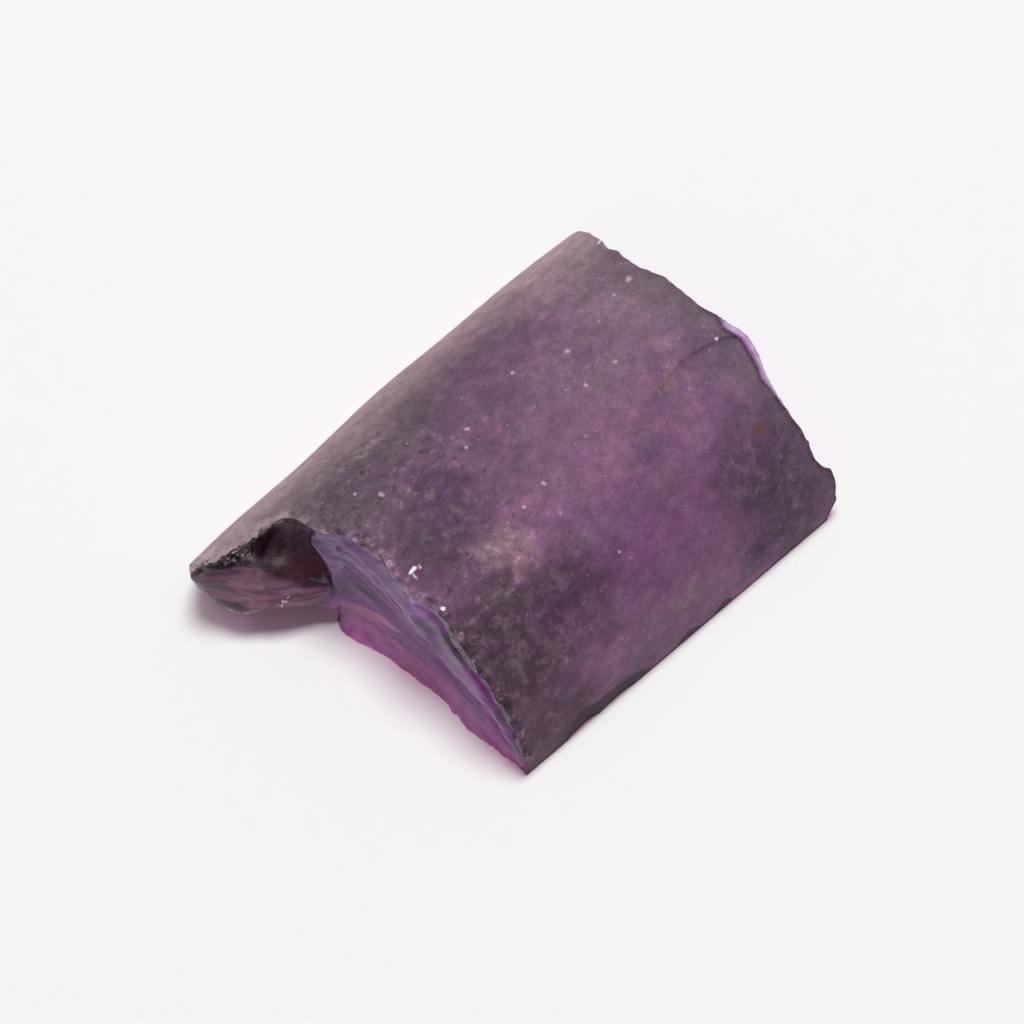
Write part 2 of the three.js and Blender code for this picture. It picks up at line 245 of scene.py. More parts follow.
# The front break: a wall that runs along the boule's cut, then out along the spur.
# Each station is (run, x and y at the wall's base, x and y at the rim).
frontBreak = {
    "columns": 284, "rows": (5, 15, 27, 74),  # up to the floor, the lip, the ledge and the top
    "from": 1.2, "to": 27.0, "low": -0.9, "high": 10.6,  # the runs and heights it is made between
    "thickness": (-16, -5.6, 0),  # the move that makes a solid of the wall
    "stations": [
        (0, -7.2, -12, -7.52, -12), (3.5, -7.21, -8.5, -7.51, -8.5), (5.6, -7.23, -6.4, -7.66, -6.4),
        (8.4, -7.25, -3.6, -7.48, -3.6), (10.1, -7.38, -1.9, -7.92, -1.9),
        (12.2, -7.56, 0.2, -7.76, 0.2), (14, -7.86, 2, -7.98, 2), (14.9, -8.1, 2.85, -8.3, 2.9),
        (15.9, -8.5, 3.7, -8.86, 3.9), (17.2, -9.1, 4.35, -8.86, 5.2), (17.9, -9.6, 4.75, -9.1, 5.85),
        (18.6, -10.1, 5.17, -9.75, 6.15), (19.9, -10.95, 5.7, -11.05, 6.35),
        (20.7, -11.4, 5.92, -11.7, 6.75), (21.5, -11.82, 6.15, -12.45, 7.05),
        (22.3, -12.2, 6.6, -13.15, 7.4), (23.1, -12.48, 7.25, -13.8, 7.8),
        (23.9, -12.56, 8, -13.32, 8.3), (24.6, -12.58, 8.7, -12.95, 8.8), (25.3, -12.6, 9.4, -12.72, 9.4),
        (27.4, -12.6, 11.5, -12.6, 11.6), (29.9, -12.6, 14, -12.6, 14.1),
    ],
    # how far the foot of the main face spreads, by run
    "foot": [(1.5, 0.1), (2.3, 0.28), (3.0, 0.35), (3.9, 0.45), (4.8, 0.62), (5.75, 0.75), (6.95, 0.67),
             (8.1, 0.58), (9.2, 0.68), (10.2, 0.72), (11.1, 0.77), (12.0, 0.87), (13.1, 1.05),
             (13.9, 1.15), (14.4, 1.05), (14.9, 0.85), (15.4, 0.5), (15.9, 0.0)],
    "footHeight": 0.95,
    # the lip under the spur: run, height, how far it stands out
    "lip": [(13.8, 0.75, 0.0), (14.6, 0.8, 0.1), (15.15, 1.3, 0.54), (15.45, 1.7, 0.78), (15.8, 2.1, 1.0),
            (16.75, 2.4, 1.41), (18.4, 2.5, 1.7), (19.6, 2.6, 1.55), (20.1, 2.5, 1.4), (21.25, 2.16, 1.23),
            (22.05, 2.2, 0.88), (22.6, 2.3, 0.61), (22.95, 2.5, 0.2), (23.4, 2.9, 0.05), (23.9, 3.2, 0.2),
            (24.6, 3.3, 0.1), (26.0, 3.3, 0.0)],
    "undercut": 0.8,
    # the ledge over the lens: run, height, how far it stands out
    "ledge": [(13.8, 3.0, 0.0), (15.2, 3.1, 0.1), (16, 3.3, 0.35), (17, 3.6, 0.5), (18, 3.8, 0.5),
              (19.1, 4.1, 0.4), (19.8, 4.3, 0.25), (20.9, 4.6, 0.1), (22.2, 4.75, 0.0), (23.2, 4.5, 0.0),
              (24.2, 4.3, 0.0)],
    # curved feathers on the main face: (run, height) along each, then rise, width above and below
    "feathers": [
        ([(1.8, 0.9), (3.4, 3.0), (4.8, 4.6), (6.2, 4.5), (7.4, 4.1), (8.5, 4.4), (9.3, 6.0),
          (10.1, 7.4), (12, 7.5), (14.6, 8.3)], 0.26, 1.1, 0.5),
        ([(2.4, 2.2), (3.6, 4.4), (5.0, 5.8), (6.1, 6.3), (7.2, 6.5), (7.9, 7.0), (8.6, 8.0),
          (9.4, 9.0), (10.4, 9.6)], -0.3, 0.5, 0.35),
        ([(1.6, 1.0), (5.0, 1.8), (8.5, 2.0), (11.4, 1.6), (13.0, 1.9), (15.6, 1.9)], 0.22, 0.5, 0.7),
        ([(2.5, 1.6), (6.0, 2.9), (9.0, 3.0), (12.0, 3.3), (14.8, 4.6)], -0.16, 0.7, 0.3),
        ([(8.0, 3.2), (10.0, 4.6), (12.5, 5.4), (15.0, 6.4)], 0.12, 0.25, 0.8),
    ],
    # the scoop's near edge: height, then run there
    "scoopEdge": [(0, 14.7), (2.2, 15.0), (3.5, 15.3), (5.1, 15.5), (6.6, 15.7), (7.6, 16.1), (8.9, 16.5)],
    "scoopDepth": 1.15,
}


def rimHeight(y):
    return sqrt(max(9.0, 9.4 ** 2 - y * y))


def fromTable(table, run, column):
    return along([(row[0], row[column]) for row in table], run)


def frontRelief(run, height, share):
    # how far the wall stands out of its plain sweep; share is 0 at the base and 1 at the rim
    cut = frontBreak
    place = Vector((run, height, 0.0))
    underRim = smooth(1.0, 0.86, share)
    onFace = smooth(16.2, 14.6, run)
    out = 0.0
    for path, rise, above, below in cut["feathers"]:
        away = height - along(path, run)
        first, last = path[0][0], path[-1][0]
        ends = smooth(first - 0.2, first + 1.6, run) * smooth(last + 0.8, last - 0.6, run)
        out += rise * hump(away, 0, above if away > 0 else below) * ends * onFace * smooth(1.0, 0.95, share)
    # fine ripples that cross the feathers
    fromCorner = hypot(run - 0.8, height)
    out += onFace * underRim * 0.02 * sin(fromCorner * 5.2 + 1.5 * noise.noise(place * 0.35))
    # the foot of the main face runs out to the floor
    lip, lipOut = fromTable(cut["lip"], run, 1), fromTable(cut["lip"], run, 2)
    chips = 0.07 * noise.noise(Vector((run * 2.6, 5.0, 0.0)))
    chips += 0.04 * noise.noise(Vector((run * 6.1, 9.0, 0.0)))
    out += (along(cut["foot"], run) + chips * onFace) * exp(-max(0.0, height) / cut["footHeight"])
    out += onFace * 0.05 * hump(height, lip, 0.14) * (0.6 + noise.noise(Vector((run * 1.3, 2.0, 0.0))))
    # the scoop beside the spur, sharp on its near side, with a ledge under it
    edge = along(cut["scoopEdge"], height)
    ledge, ledgeOut = fromTable(cut["ledge"], run, 1), fromTable(cut["ledge"], run, 2)
    inScoop = smooth(edge, edge + 1.1, run) * smooth(19.9, 18.0, run)
    inScoop *= smooth(ledge - 0.1, ledge + 1.3, height)
    out -= cut["scoopDepth"] * inScoop * smooth(1.0, 0.8, share)
    out += 0.22 * hump(run, edge - 0.25, 0.35) * smooth(1.5, 3.5, height) * smooth(1.0, 0.9, share)
    # the spur's wall: rough teeth near the rim, then a hollow
    onSpur = smooth(18.4, 19.4, run)
    teeth = abs(noise.noise(Vector((run * 1.6 + height * 0.5, height * 0.9, 3.0)))) - 0.2
    teeth += 0.5 * noise.noise(Vector((run * 3.4, height * 2.6, 7.0)))
    toothed = 0.5 * teeth * smooth(0.62, 0.84, share) - 0.28 * underRim
    out += onSpur * smooth(ledge, ledge + 0.5, height) * toothed
    # a smooth lens that swells from the ledge down to the lip, then the hollow under the lip
    onLens = smooth(14.8, 15.6, run)
    if height > ledge:
        out += ledgeOut * smooth(ledge + 1.2, ledge, height)
    elif height > lip:
        down = (ledge - height) / (ledge - lip)
        out += mix(ledgeOut, lipOut, sin(down * pi / 2) ** 0.9)
        deep, faint = (onLens * 0.07 * smooth(19.0, 20.2, run) * smooth(23.4, 22.4, run),
                       onLens * 0.04 * smooth(17.0, 19.0, run))
        out -= deep * hump(down, 0.52 + 0.08 * sin(run * 1.3), 0.09) + faint * hump(down, 0.3, 0.05)
    else:
        under = min(1.0, (lip - height) / lip) ** 0.55
        out += mix(lipOut, -cut["undercut"] * onLens, under)
    out += 0.05 * noise.noise(place * 0.9) + 0.012 * noise.noise(place * 3.7)
    # chipped lip all along the rim
    out += 0.1 * smooth(0.93, 0.99, share) * noise.noise(Vector((run * 2.2, 0.0, height * 1.4)))
    return out


def frontWall(run, height):
    table = frontBreak["stations"]
    xBase, yBase, xRim, yRim = (fromTable(table, run, column) for column in (1, 2, 3, 4))
    share = height / rimHeight(yRim)
    lift = smooth(0, 0.95, share)
    return Vector((mix(xBase, xRim, lift), mix(yBase, yRim, lift), height)), share


def makeFrontBreaker():
    deselectAll()
    cut = frontBreak
    rows = cut["rows"]
    bpy.ops.mesh.primitive_grid_add(x_subdivisions=cut["columns"], y_subdivisions=sum(rows), size=1)
    tool = bpy.context.object

    def heightOf(row, run):
        # rows of the grid lie along the floor, the lip and the ledge, so that their edges are clean
        lip, ledge = fromTable(cut["lip"], run, 1), fromTable(cut["ledge"], run, 1)
        levels = (cut["low"], 0.0, lip, ledge, cut["high"])
        for count, low, high in zip(rows, levels, levels[1:]):
            if row <= count:
                return mix(low, high, row / count)
            row -= count
        return levels[-1]

    def toWall(point):
        run = mix(cut["from"], cut["to"], point.x + 0.5)
        height = heightOf(round((point.y + 0.5) * sum(rows)), run)
        here, share = frontWall(run, height)
        ahead, behind = frontWall(run + 0.3, height)[0], frontWall(run - 0.3, height)[0]
        way = (ahead - behind).normalized()
        return here + Vector((-way.y, way.x, 0)) * frontRelief(run, height, share)

    moveEach(tool, toWall)
    return thicken(tool, cut["thickness"])


# The back break: one shell-like fracture that starts at the rim on the far side
backBreak = {
    "wide": 24.0, "low": -0.9, "high": 11.4, "step": 0.15,
    "thickness": (6, 0, 0),
    # y along the rim, then x there
    "rim": [(-10.2, 13.75), (-9.45, 13.92), (-8.8, 13.56), (-7.7, 13.26), (-6.2, 13.2), (-5, 13.3),
            (-3.8, 13.68), (-2.9, 13.82), (-1.7, 13.52), (-0.2, 13.05), (1.8, 12.96), (3.8, 12.54),
            (6.5, 12.84), (9.2, 13.4), (10.4, 13.2)],
    "bevelWidth": 0.55,
    "bevelProud": 0.4,  # how far its outer edge stands out, for each millimetre of width
    "bevelSlope": 1.2,
}


def backWall(y, z):
    cut = backBreak
    depth = max(0.0, boule["radius"] - hypot(y, z))
    fromStart = hypot(y - 4.5, (z - 9.4) * 1.15)
    bowl = -0.55 * smooth(0.5, 6, fromStart) * smooth(16, 7, fromStart)
    place = Vector((y, z, 11.0))
    ripples = 0.09 * sin(fromStart * 2.1 - 0.6 + noise.noise(place * 0.3)) * smooth(1.5, 5, fromStart)
    ripples += 0.02 * sin(fromStart * 6.5 + 2 * noise.noise(place * 0.5)) + 0.04 * noise.noise(place * 1.1)
    relief = (bowl + ripples) * smooth(0, 1.6, depth)
    width = cut["bevelWidth"] * smooth(-1.3, -2.0, y) * min(1.0, max(0.0, (y + 7.6) / 4.6))
    bevel = cut["bevelProud"] * width - cut["bevelSlope"] * max(0.0, width - depth)
    onBevel = min(1.0, width / 0.1) * smooth(4.5, 2, depth)
    corner = -0.65 * smooth(1.7, 0, z) * smooth(-8.4, -9.8, y)
    chipped = 0.1 * smooth(0.4, 0.0, depth) * noise.noise(place * 1.9)
    return Vector((along(cut["rim"], y) + mix(relief, bevel, onBevel) + corner + chipped, y, z))


def makeBackBreaker():
    deselectAll()
    wide, low, high, step = (backBreak[name] for name in ("wide", "low", "high", "step"))
    bpy.ops.mesh.primitive_grid_add(x_subdivisions=round(wide / step),
                                    y_subdivisions=round((high - low) / step), size=1)
    tool = bpy.context.object
    moveEach(tool, lambda point: backWall(point.x * wide, mix(low, high, point.y + 0.5)))
    return thicken(tool, backBreak["thickness"])


# Small scoops struck off the edges
edgeChips = {
    "roughness": 0.05,
    # centre, radii, turn about Z in degrees
    "chips": [
        ((-3.6, -10.95, -0.1), (2.4, 1.1, 3.2), 0),
        ((-1.8, -10.95, -0.1), (3.6, 1.05, 2.2), 1),
        ((14.1, -8.9, 5.2), (0.8, 1.3, 1.6), 20),
        ((13.15, 5.9, 9.0), (0.75, 1.4, 1.3), 12),
    ],
}


def makeChip(centre, radii, turn):
    deselectAll()
    bpy.ops.mesh.primitive_ico_sphere_add(subdivisions=5, radius=1)
    tool = bpy.context.object
    spin, middle = Matrix.Rotation(radians(turn), 3, "Z"), Vector(centre)

    def toScoop(point):
        wobble = noise.noise(point * 2.3 + middle) + 0.5 * noise.noise(point * 5 + middle)
        size = 1 + edgeChips["roughness"] * wobble
        return spin @ (Vector(a * b for a, b in zip(point, radii)) * size) + middle

    moveEach(tool, toScoop)
    return tool


cutAway(stone, makeSplitter())
cutAway(stone, makeFrontBreaker())
cutAway(stone, makeBackBreaker())
for chip in edgeChips["chips"]:
    cutAway(stone, makeChip(*chip))
print("breaks cut,", len(stone.data.polygons), "faces")


finishing = {
    "merge": 0.009,  # millimetres, enough to close the slivers that the cuts leave
    "smoothBelow": 32,  # degrees between two faces
}


def finishStone(thing):
    # tidy the cuts, mark skin and edges, then bring the stone to metres and to its place
    editAll(thing)
    bpy.ops.mesh.remove_doubles(threshold=finishing["merge"])
    bpy.ops.mesh.quads_convert_to_tris(quad_method="BEAUTY", ngon_method="BEAUTY")
    bpy.ops.object.mode_set(mode="OBJECT")
    mesh = thing.data
    marksAndGlints = [mark.value for mark in mesh.attributes["frostFace"].data]
    skinAt, brokenAt = set(), set()
    for face, mark in zip(mesh.polygons, marksAndGlints):
        (skinAt if mark > 0.5 else brokenAt).update(face.vertices)
    rims = skinAt & brokenAt
    tree = KDTree(len(rims))
    for vertex in rims:
        tree.insert(mesh.vertices[vertex].co, vertex)
    tree.balance()
    frost = mesh.attributes.new("frost", "FLOAT", "CORNER")
    frost.data.foreach_set("value", [marksAndGlints[face.index] for face in mesh.polygons for corner in face.vertices])
    edge = mesh.attributes.new("fromRim", "FLOAT", "POINT")
    edge.data.foreach_set("value", [tree.find(vertex.co)[2] for vertex in mesh.vertices])
    mesh.attributes.remove(mesh.attributes["frostFace"])
    lowest, highest = (Vector([pick(vertex.co[i] for vertex in mesh.vertices) for i in range(3)])
                       for pick in (min, max))
    middle = (lowest + highest) / 2
    cadMiddle = (Vector(cadBox[0]) + Vector(cadBox[1])) / 2
    print("shaped stone's middle", [round(value, 3) for value in middle[:2]])
    moveEach(thing, lambda point: Vector(((point.x - middle.x) * mm + cadMiddle.x,
                                          (point.y - middle.y) * mm + cadMiddle.y, point.z * mm)))
    deselectAll()
    thing.select_set(True)
    bpy.context.view_layer.objects.active = thing
    bpy.ops.object.shade_smooth_by_angle(angle=radians(finishing["smoothBelow"]), keep_sharp_edges=False)
    return middle - cadMiddle / mm


shift = finishStone(stone)  # from the finished place back to the boule's axis, in mm
print("stone finished,", len(stone.data.polygons), "triangles")
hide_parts("stone")
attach(stone, "root")


class Wire:
    # one output of a shader node, which sums can be written with
    def __init__(self, recipe, socket):
        self.recipe, self.socket = recipe, socket

    def sum(self, operation, *values):
        return self.recipe.add("ShaderNodeMath", {"operation": operation}, dict(enumerate(values)))

    def atLeast(self, other):
        return self.sum("MAXIMUM", self, other)

    def __add__(self, other):
        return self.sum("ADD", self, other)

    def __sub__(self, other):
        return self.sum("SUBTRACT", self, other)

    def __rsub__(self, other):
        return self.sum("SUBTRACT", other, self)

    def __mul__(self, other):
        return self.sum("MULTIPLY", self, other)

    def __truediv__(self, other):
        return self.sum("DIVIDE", self, other)

    __radd__, __rmul__ = __add__, __mul__


class Recipe:
    # a material and the ways its nodes are added
    def __init__(self, name):
        self.material = bpy.data.materials.new(name)
        self.material.use_nodes = True
        self.tree = self.material.node_tree
        self.tree.nodes.clear()

    def add(self, kind, settings={}, links={}, output=0):
        node = self.tree.nodes.new(kind)
        for name, value in settings.items():
            setattr(node, name, value)
        for name, value in links.items():
            if isinstance(value, Wire):
                self.tree.links.new(value.socket, node.inputs[name])
            else:
                node.inputs[name].default_value = value
        return None if output is None else Wire(self, node.outputs[output])

    def fade(self, value, start, end, low=0.0, high=1.0):
        # low where value is at start, high where it is at end, eased between
        return self.add("ShaderNodeMapRange", {"interpolation_type": "SMOOTHSTEP"},
                        {"Value": value, "From Min": start, "From Max": end, "To Min": low, "To Max": high})

    def noise(self, place, scale, detail=2.0, roughness=0.5, distortion=0.0):
        return self.add("ShaderNodeTexNoise", {}, {"Vector": place, "Scale": scale, "Detail": detail,
                                                   "Roughness": roughness, "Distortion": distortion})

    def blend(self, share, first, second, way="MIX"):
        return self.add("ShaderNodeMix", {"data_type": "RGBA", "blend_type": way},
                        {0: share, 6: first, 7: second}, output=2)

    def shaded(self, colour, tone):
        # the colour, darker or lighter by a plain number
        return self.blend(1.0, colour, self.grey(tone), "MULTIPLY")

    def either(self, share, first, second):
        return self.add("ShaderNodeMixShader", {}, {0: share, 1: first, 2: second})

    def away(self, place, centre):
        return self.add("ShaderNodeVectorMath", {"operation": "DISTANCE"}, {0: place, 1: centre}, 1)

    def join(self, x, y, z):
        return self.add("ShaderNodeCombineXYZ", {}, {"X": x, "Y": y, "Z": z})

    def grey(self, value):
        return self.add("ShaderNodeCombineColor", {}, {"Red": value, "Green": value, "Blue": value})

    def wander(self, place, along, scale, by):
        # moves a place about by up to half of by, so that patches get cloudy outlines
        cloud = self.add("ShaderNodeTexNoise", {}, {"Vector": along, "Scale": scale, "Detail": 3.0}, 1)
        back = self.add("ShaderNodeVectorMath", {"operation": "ADD"}, {0: place, 1: (-by / 2, -by / 2, 0)})
        return self.add("ShaderNodeVectorMath", {"operation": "MULTIPLY_ADD"},
                        {0: cloud, 1: (by, by, 0), 2: back})

    def patch(self, place, centre, radii, turn, soft=0.35):
        # 1 in the middle of an oval and 0 outside it
        c, s = cos(radians(turn)), sin(radians(turn))
        ways = (c / radii[0], s / radii[0], 0), (-s / radii[1], c / radii[1], 0)
        inOval = self.join(*(self.add("ShaderNodeVectorMath", {"operation": "DOT_PRODUCT"},
                                      {0: place, 1: way}, 1) for way in ways), 0)
        middle = (*(centre[0] * way[0] + centre[1] * way[1] for way in ways), 0)
        return self.fade(self.away(inOval, middle), 0.9 + soft, 0.9 - soft)

    def finish(self, surface, volume=None):
        links = {"Surface": surface, "Volume": volume} if volume else {"Surface": surface}
        self.add("ShaderNodeOutputMaterial", {}, links, None)
        return self.material


def shade(red, green, blue):
    # a colour as seen on a screen, 0 to 255, in the renderer's linear values
    def linear(value):
        value /= 255
        return value / 12.92 if value <= 0.04045 else ((value + 0.055) / 1.055) ** 2.4
    return linear(red), linear(green), linear(blue), 1.0


# The crystal. Its skin is marked in millimetres along the boule and round it from the near edge.
crystal = {
    "ior": 1.76,
    # what the inside takes out of the light
    "absorbs": shade(165, 105, 170), "density": 95.0,  # per metre
    "skinRoughness": 0.72, "skinClearness": 0.35, "breakRoughness": 0.07,
    # how much of the lamp's light goes on through each surface to the floor
    "throughSkin": (0.42, 0.2, 0.32, 1), "throughSteep": (0.24, 0.08, 0.18, 1),
    "throughSpur": (0.2, 0.03, 0.16, 1), "throughTip": (0.54, 0.46, 0.5, 1),
    "throughBreak": (0.8, 0.64, 0.72, 1),
    "shine": 0.05, "breakShine": (0.55, 0.42, 0.6, 1), "clearTint": (1, 0.9, 1, 1),
    "skinGain": 1.5, "breakGain": 1.0,
    "bump": 0.5, "bumpDepth": 0.00012,  # metres
    # textures: scale, detail, roughness and distortion
    "large": (0.32, 3, 0.55), "middling": (1.1, 5, 0.65), "fine": (6, 3, 0.65), "pits": (14, 2),
    "grit": (2.0, 5, 0.68), "smudges": (1.6, 4, 0.68, 0.2), "tints": (0.9, 5, 0.7, 0.4),
    "dust": (5.0, 2, 0.5), "scratches": (1.1, 3, 0.6), "crumbs": (1.5, 5, 0.75),
    "streaks": (1.6, 4, 0.6), "teeth": (3.4, 4, 0.65), "lensLines": (2.6, 3, 0.6),
    # how far outlines wander: scale, then millimetres
    "cloudsWander": ((0.4, 3.4), (1.3, 1.5), (4.2, 0.5)), "marksWander": (4.5, 0.22),
    "facePatchesWander": (1.2, 0.5), "glintsWander": (5, 0.25), "streaksWander": (0.5, 0.5),
    "lensLinesWander": (0.9, 0.3),
    "mauve": shade(129, 90, 118), "violet": shade(106, 75, 106), "violetBlue": shade(98, 72, 106),
    "greyGreen": shade(104, 90, 98), "beige": shade(206, 176, 180), "speck": shade(196, 174, 184),
    "smudge": shade(164, 136, 150), "freckle": shade(62, 46, 58),
    # centre, half widths, turn in degrees, colour and share
    "patches": [
        ((3.6, 7.6), (7.8, 3.9), 0, shade(99, 65, 96), 0.9),
        ((7.6, 17.4), (5.8, 3.4), -5, shade(131, 102, 120), 0.75),
        ((1.5, 12.8), (4.4, 1.7), 0, shade(132, 93, 124), 0.7),
        ((-6.0, 8.0), (4.3, 4.8), 0, shade(58, 39, 54), 0.95),
        ((-5.6, 2.6), (3.6, 2.4), 0, shade(70, 53, 64), 0.9),
        ((11.2, 5.2), (3.5, 5.4), 0, shade(66, 48, 63), 0.95),
        ((2.8, 2.9), (4.6, 1.5), 0, shade(120, 88, 110), 0.8),
        ((-4.8, 15.2), (2.8, 2.6), 10, shade(82, 58, 77), 0.9),
        ((-7.1, 19.0), (2.2, 2.8), 0, shade(97, 79, 94), 0.8),
        ((-1.4, 8.6), (2.9, 2.3), 8, shade(64, 42, 62), 0.9),
        ((11.2, 19.6), (2.6, 3.4), 0, shade(140, 116, 131), 0.8),
        ((3.0, 20.6), (3.2, 1.6), 10, shade(110, 83, 108), 0.6),
        ((-3.2, 16.4), (1.6, 1.1), 0, shade(84, 58, 84), 0.75),
        ((-5.0, 14.6), (1.2, 1.1), 0, shade(74, 52, 71), 0.8),
        ((-2.8, 12.5), (0.95, 1.35), 12, shade(142, 115, 120), 0.7),
        ((-3.9, 10.3), (1.2, 1.2), 0, shade(66, 55, 60), 0.9),
        ((-4.0, 7.4), (0.5, 1.5), 0, shade(100, 84, 90), 0.6),
        ((4.2, 8.2), (2.4, 1.3), 0, shade(107, 64, 104), 0.7),
        ((8.9, 7.6), (1.3, 1.1), 0, shade(78, 52, 76), 0.7),
        ((9.2, 2.8), (1.4, 1.1), 0, shade(54, 39, 52), 0.8),
        ((9.6, 13.2), (0.6, 0.45), -6, shade(136, 106, 108), 0.7),
        ((11.6, 12.3), (1.1, 1.0), 0, shade(106, 87, 97), 0.7),
        ((-0.8, 14.2), (0.9, 0.8), 0, shade(106, 74, 100), 0.6),
        ((11.1, 14.9), (1.2, 0.9), 0, shade(142, 110, 125), 0.7),
        ((1.1, 10.0), (1.3, 0.8), 0, shade(112, 76, 112), 0.5),
        ((8.6, 22.2), (2.2, 1.4), 0, shade(150, 121, 137), 0.7),
        ((-3.8, 22.0), (2.2, 0.8), 5, shade(128, 107, 116), 0.6),
        ((13.2, 8.0), (1.3, 4.6), 4, shade(76, 60, 75), 0.75),
        ((-5.8, 8.0), (2.5, 2.9), 20, shade(54, 40, 52), 0.65),
        ((-0.8, 6.3), (1.2, 1.6), 0, shade(76, 54, 76), 0.5),
        ((9.0, 3.2), (2.2, 1.9), 0, shade(72, 54, 70), 0.6),
        ((11.2, 22.2), (1.3, 0.8), 0, shade(112, 96, 104), 0.6),
    ],
    # small marks with ragged outlines: a brownish spot, pale specks, and painted glints, white and pink,
    # where the front rim is chipped near x -7
    "marksAndGlints": [
        ((11.35, 8.7), (0.5, 0.42), 0, shade(96, 64, 64), 0.85),
        ((11.3, 8.62), (0.24, 0.2), 0, shade(104, 60, 50), 0.8),
        ((-7.0, 14.5), (0.27, 0.1), 10, shade(250, 238, 244), 0.95),
        ((-7.14, 14.2), (0.09, 0.2), 0, shade(206, 170, 194), 0.9),
        ((-6.62, 14.4), (0.1, 0.1), 0, shade(206, 176, 196), 0.8),
        ((-6.85, 14.15), (0.15, 0.15), 0, shade(92, 40, 84), 0.9),
        ((-7.14, 12.04), (0.12, 0.12), 0, shade(252, 244, 248), 1.0),
        ((12.75, 22.6), (0.3, 0.08), 30, shade(236, 224, 230), 0.8),
        ((12.9, 22.0), (0.2, 0.06), 20, shade(236, 224, 230), 0.7),
        ((12.5, 13.5), (0.12, 0.08), 0, shade(226, 214, 226), 0.8),
        ((-5.28, 18.76), (0.13, 0.2), 0, shade(188, 156, 164), 0.8),
    ],
    # dark broken places along the foot of the near side: shallow chips, painted dark for the shade that fills
    # them
    "shadedNearGaps": [
        ((-3.7, 0.1), (1.4, 2.0), -8), ((-2.1, 0.1), (3.5, 1.7), -2),
        ((3.6, 0.1), (1.0, 0.85), -14), ((5.85, 0.1), (0.75, 0.9), -14),
    ],
    # single pale specks: centre and size
    "specks": [
        (11.7, 19.0, 0.2), (7.83, 15.9, 0.13), (3.89, 19.15, 0.12), (6.59, 18.03, 0.14), (10.53, 18.84, 0.1),
        (5.89, 15.93, 0.14), (0.16, 18.41, 0.15), (-0.6, 17.65, 0.12),
        (-6.1, 19.85, 0.11), (0.86, 13.56, 0.13), (-0.73, 13.29, 0.11), (1.75, 8.47, 0.1),
    ],
    # the breaks: colours over the front, by run along it and height
    "lavender": shade(150, 94, 166), "litFloorMagenta": shade(220, 150, 210), "scoop": shade(104, 92, 100),
    "deepRed": shade(80, 48, 62), "pit": shade(20, 13, 16), "lens": shade(164, 118, 140),
    "lensDark": shade(112, 84, 106), "paintedGlint": shade(236, 226, 222), "underSpurShade": shade(90, 30, 70),
    "nearChipShade": shade(62, 42, 58), "rimBrown": shade(64, 38, 54), "bevel": shade(240, 218, 240),
    # how much of each part of the breaks is cloudy
    "cloudOfFace": 0.82, "cloudOfFoot": 0.62, "cloudOfSpur": 0.9,
    # among the face patches are painted glints (violet at run 9.5 to 9.9, height 8.3 to 8.9, and white at run
    # 4.3), a painted highlight along the ridge at run 6.2 and painted shade in the grooves under the rim at
    # runs 7 to 8
    "facePatches": [
        ((12.6, 8.9), (2.8, 0.8), 6, shade(148, 100, 160), 0.7),
        ((15.2, 7.8), (0.6, 0.9), -12, shade(112, 76, 130), 0.7),
        ((15.75, 6.4), (0.5, 3.0), -12, shade(80, 50, 86), 0.85),
        ((14.9, 3.4), (0.7, 0.9), 0, shade(100, 64, 100), 0.7),
        ((12.6, 4.1), (1.9, 0.9), 12, shade(104, 88, 124), 0.8),
        ((12.8, 2.3), (1.5, 0.28), -4, shade(240, 166, 206), 0.9),
        ((11.2, 1.75), (2.2, 0.18), -6, shade(110, 58, 92), 0.6),
        ((9.5, 8.3), (0.6, 0.6), 30, shade(208, 122, 240), 0.7),
        ((9.9, 8.9), (0.25, 0.2), 30, shade(236, 160, 255), 0.8),
        ((8.9, 4.4), (0.6, 1.6), -20, shade(112, 60, 114), 0.7),
        ((8.0, 6.4), (1.7, 0.62), 24, shade(54, 22, 76), 0.9),
        ((7.2, 8.0), (2.0, 0.45), 30, shade(70, 28, 76), 0.85),
        ((6.2, 5.5), (1.7, 0.36), 10, shade(186, 114, 202), 0.8),
        ((5.0, 7.1), (1.2, 0.6), 50, shade(70, 38, 56), 0.85),
        ((3.6, 5.0), (0.7, 1.2), 0, shade(92, 54, 88), 0.8),
        ((7.4, 2.4), (1.6, 0.22), 8, shade(120, 58, 114), 0.6),
        ((4.6, 2.4), (1.0, 0.5), 30, shade(196, 118, 188), 0.7),
        ((4.3, 4.2), (0.16, 0.1), 0, shade(255, 240, 250), 1.0),
    ],
    "spurPatches": [
        ((19.2, 5.0), (0.5, 0.4), 10, shade(40, 20, 30), 0.95),
        ((16.8, 3.95), (0.9, 0.3), 10, shade(92, 46, 66), 0.8),
        ((19.6, 5.8), (0.75, 0.65), 0, shade(10, 7, 9), 1.0),
        ((23.4, 5.0), (1.1, 0.6), 0, shade(76, 66, 70), 0.7),
        ((21.7, 2.8), (1.5, 0.3), 8, shade(62, 46, 54), 0.8),
    ],
    "lensGlints": [
        ((17.55, 2.95), (0.24, 0.07), 12, 0.9), ((17.75, 2.78), (0.07, 0.16), 20, 0.9),
        ((17.25, 3.05), (0.12, 0.05), 0, 0.8), ((18.0, 2.85), (0.06, 0.05), 0, 1.0),
        ((22.85, 3.05), (0.16, 0.07), 0, 0.8), ((21.75, 2.35), (0.2, 0.06), 0, 0.9),
        ((20.6, 2.32), (0.3, 0.05), 0, 0.8),
    ],
}


